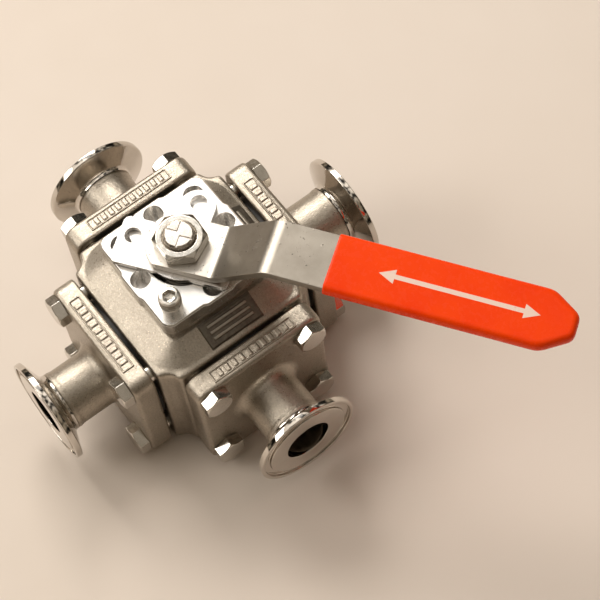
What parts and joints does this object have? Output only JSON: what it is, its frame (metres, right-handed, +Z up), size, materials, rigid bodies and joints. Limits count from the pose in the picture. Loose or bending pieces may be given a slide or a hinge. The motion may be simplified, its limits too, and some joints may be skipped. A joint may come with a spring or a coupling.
{
  "type": "four-way sanitary ball valve",
  "caption": "Square cast ball valve with clamp-ferrule ports on four sides, an actuator pad and a quarter-turn lever with a dipped grip.",
  "frame": {"origin": "centre of the round foot under the body, on the stem axis", "axes": "+Z up along the stem; ports on +X, -X, +Y and -Y at a height of 36 mm; the stop screw stands at +X, -Y"},
  "size_m": [0.2305, 0.1932, 0.1177],
  "materials": {
    "cast_stainless": "glass-bead blasted investment casting",
    "machined_stainless": "turned and polished",
    "bolt_stainless": "bright cold-headed",
    "plate_stainless": "laser-cut bright sheet",
    "strip_stainless": "tumbled strip",
    "sleeve": "dipped soft vinyl, satin",
    "seat_plastic": "turned fluoropolymer",
    "gasket_rubber": "moulded black fluoroelastomer",
    "spring_steel": "blued disc springs"
  },
  "bodies": {
    "valve": {"valve_body": "cast_stainless", "end_cap_px": "cast_stainless", "body_gasket_px": "gasket_rubber", "seat_ring_px": "seat_plastic", "cap_bolts_px": "bolt_stainless", "end_cap_py": "cast_stainless", "body_gasket_py": "gasket_rubber", "seat_ring_py": "seat_plastic", "cap_bolts_py": "bolt_stainless", "end_cap_nx": "cast_stainless", "body_gasket_nx": "gasket_rubber", "seat_ring_nx": "seat_plastic", "cap_bolts_nx": "bolt_stainless", "end_cap_ny": "cast_stainless", "body_gasket_ny": "gasket_rubber", "seat_ring_ny": "seat_plastic", "cap_bolts_ny": "bolt_stainless", "thrust_washer": "seat_plastic", "packing_rings": "seat_plastic", "gland_ring": "machined_stainless", "stop_screw": "bolt_stainless", "stop_sleeve": "bolt_stainless"},
    "handle": {"ball": "machined_stainless", "stem": "machined_stainless", "disc_springs": "spring_steel", "gland_nut": "bolt_stainless", "stop_plate": "plate_stainless", "lever": "strip_stainless", "lever_nut": "bolt_stainless", "grip_sleeve": "sleeve"}
  },
  "joints": [
    {"name": "lever_turn", "type": "hinge", "parent": "valve", "child": "handle", "pos_m": [0, 0, 0.0915], "axis": [0, 0, 1], "range_deg": [-36, 54]}
  ]
}
